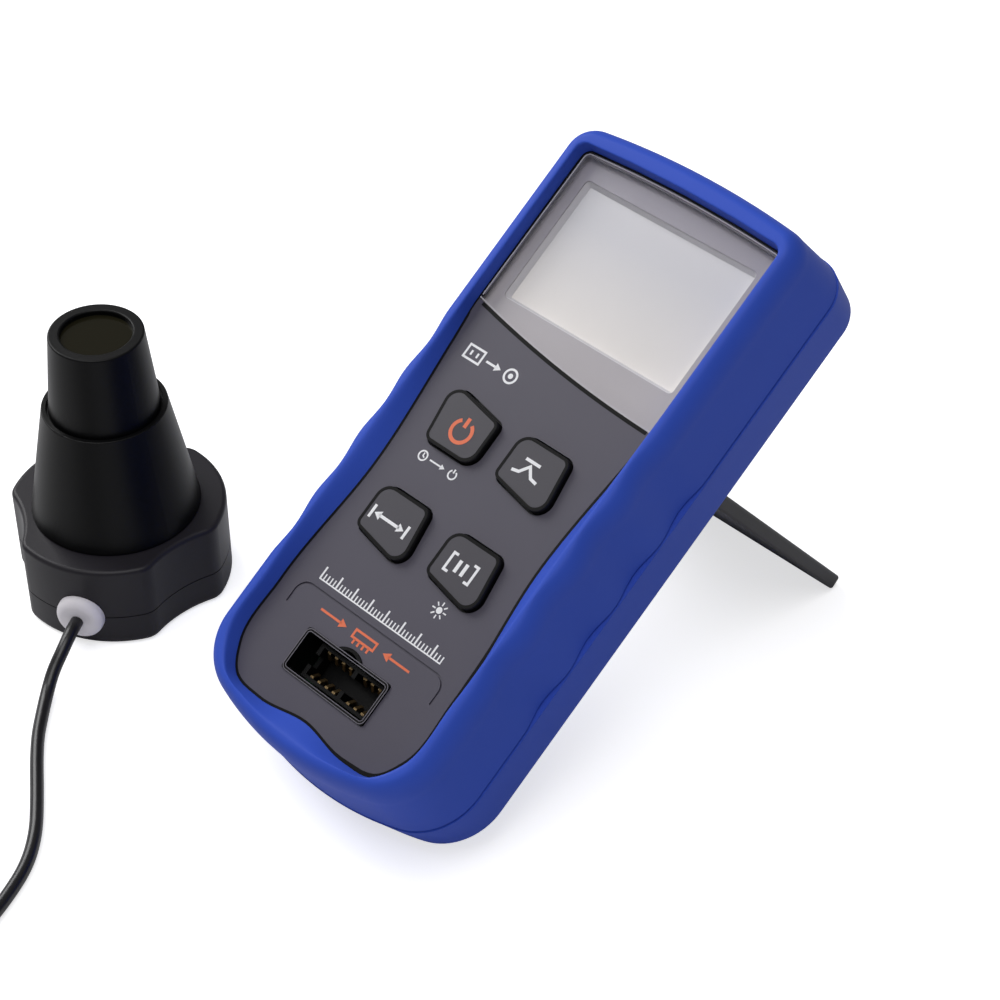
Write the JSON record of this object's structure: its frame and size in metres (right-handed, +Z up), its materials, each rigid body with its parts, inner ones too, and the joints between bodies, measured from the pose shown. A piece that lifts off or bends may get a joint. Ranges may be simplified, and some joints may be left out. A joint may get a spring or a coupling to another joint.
{
  "type": "luminance meter",
  "caption": "Hand-held light meter in a rubber boot on its tilt stand, with four press keys, a plug-in socket and an upright sensor probe on a lead.",
  "frame": {"origin": "middle of the probe's foot, on the surface that everything stands on", "axes": "+Z up, X to the right across the meter, +Y away from the reader"},
  "size_m": [0.1724, 0.3153, 0.1282],
  "materials": {
    "boot_rubber": "moulded blue rubber, soft sheen",
    "panel_plastic": "fine-grained dark grey moulded plastic",
    "key_plastic": "soft-touch dark grey keys",
    "window_clear": "clear display window",
    "mask_grey": "grey print behind the window",
    "display_pale": "pale reflective display",
    "diffuser_white": "white light guide",
    "board_green": "green circuit board",
    "chip_black": "black component case",
    "screw_steel": "plated steel",
    "mat_rubber": "grey rubber key mat",
    "socket_black": "black moulded plastic",
    "contact_brass": "sprung contact leaves",
    "cell_wrap": "plain wrapped cells",
    "stand_plastic": "dark grey moulded plastic",
    "probe_black": "black satin plastic",
    "filter_dark": "dark olive filter glass",
    "grommet_pale": "pale grommet",
    "cord_black": "black flexible sheath",
    "tie_black": "woven strap",
    "plug_black": "black plug shell"
  },
  "bodies": {
    "meter": {"holster": "boot_rubber", "front_housing": "panel_plastic", "back_housing": "panel_plastic", "lens_window": "window_clear", "display_mask": "mask_grey", "display_glass": "display_pale", "display_diffuser": "diffuser_white", "main_board": "board_green", "board_chips": "chip_black", "board_screws": "screw_steel", "key_mat": "mat_rubber", "dome_contacts": "screw_steel", "socket_shroud": "socket_black", "socket_connector": "socket_black", "socket_contacts": "contact_brass", "battery_cells": "cell_wrap", "battery_contacts": "screw_steel", "battery_cover": "panel_plastic", "battery_cover_screw": "screw_steel", "housing_screws": "screw_steel", "hinge_pin": "screw_steel"},
    "stand": {"tilt_stand": "stand_plastic"},
    "power_button": {"power_key": "key_plastic"},
    "peak_button": {"peak_key": "key_plastic"},
    "range_button": {"range_key": "key_plastic"},
    "hold_button": {"hold_key": "key_plastic"},
    "probe": {"probe_base_plate": "probe_black", "probe_housing": "probe_black", "probe_base_screws": "screw_steel", "lower_cone": "probe_black", "nose_barrel": "probe_black", "filter_glass": "filter_dark", "glass_ring": "socket_black", "light_baffle": "socket_black", "photodiode": "chip_black", "sensor_board": "board_green", "sensor_board_screws": "screw_steel", "cord_grommet": "grommet_pale", "sensor_cord": "cord_black", "cord_coil": "cord_black", "coil_tie": "tie_black", "cord_tail": "cord_black", "plug_relief": "cord_black", "plug_tongue": "socket_black", "plug_shell_top": "plug_black", "plug_shell_bottom": "plug_black"}
  },
  "joints": [
    {"name": "stand_fold", "type": "hinge", "parent": "meter", "child": "stand", "pos_m": [0.1041, 0.07737, 0.06482], "axis": [-1, 0, 0], "range_deg": [0, 96]},
    {"name": "power_key_press", "type": "slide", "parent": "meter", "child": "power_button", "axis": [0, 0.5693, -0.8221], "range_m": [0, 0.001], "stiffness_N_per_m": 600, "springref_m": -0.001},
    {"name": "peak_key_press", "type": "slide", "parent": "meter", "child": "peak_button", "axis": [0, 0.5693, -0.8221], "range_m": [0, 0.001], "stiffness_N_per_m": 600, "springref_m": -0.001},
    {"name": "range_key_press", "type": "slide", "parent": "meter", "child": "range_button", "axis": [0, 0.5693, -0.8221], "range_m": [0, 0.001], "stiffness_N_per_m": 600, "springref_m": -0.001},
    {"name": "hold_key_press", "type": "slide", "parent": "meter", "child": "hold_button", "axis": [0, 0.5693, -0.8221], "range_m": [0, 0.001], "stiffness_N_per_m": 600, "springref_m": -0.001},
    {"name": "probe_lift", "type": "slide", "parent": "meter", "child": "probe", "axis": [0, 0, 1], "range_m": [0, 0.13]}
  ]
}
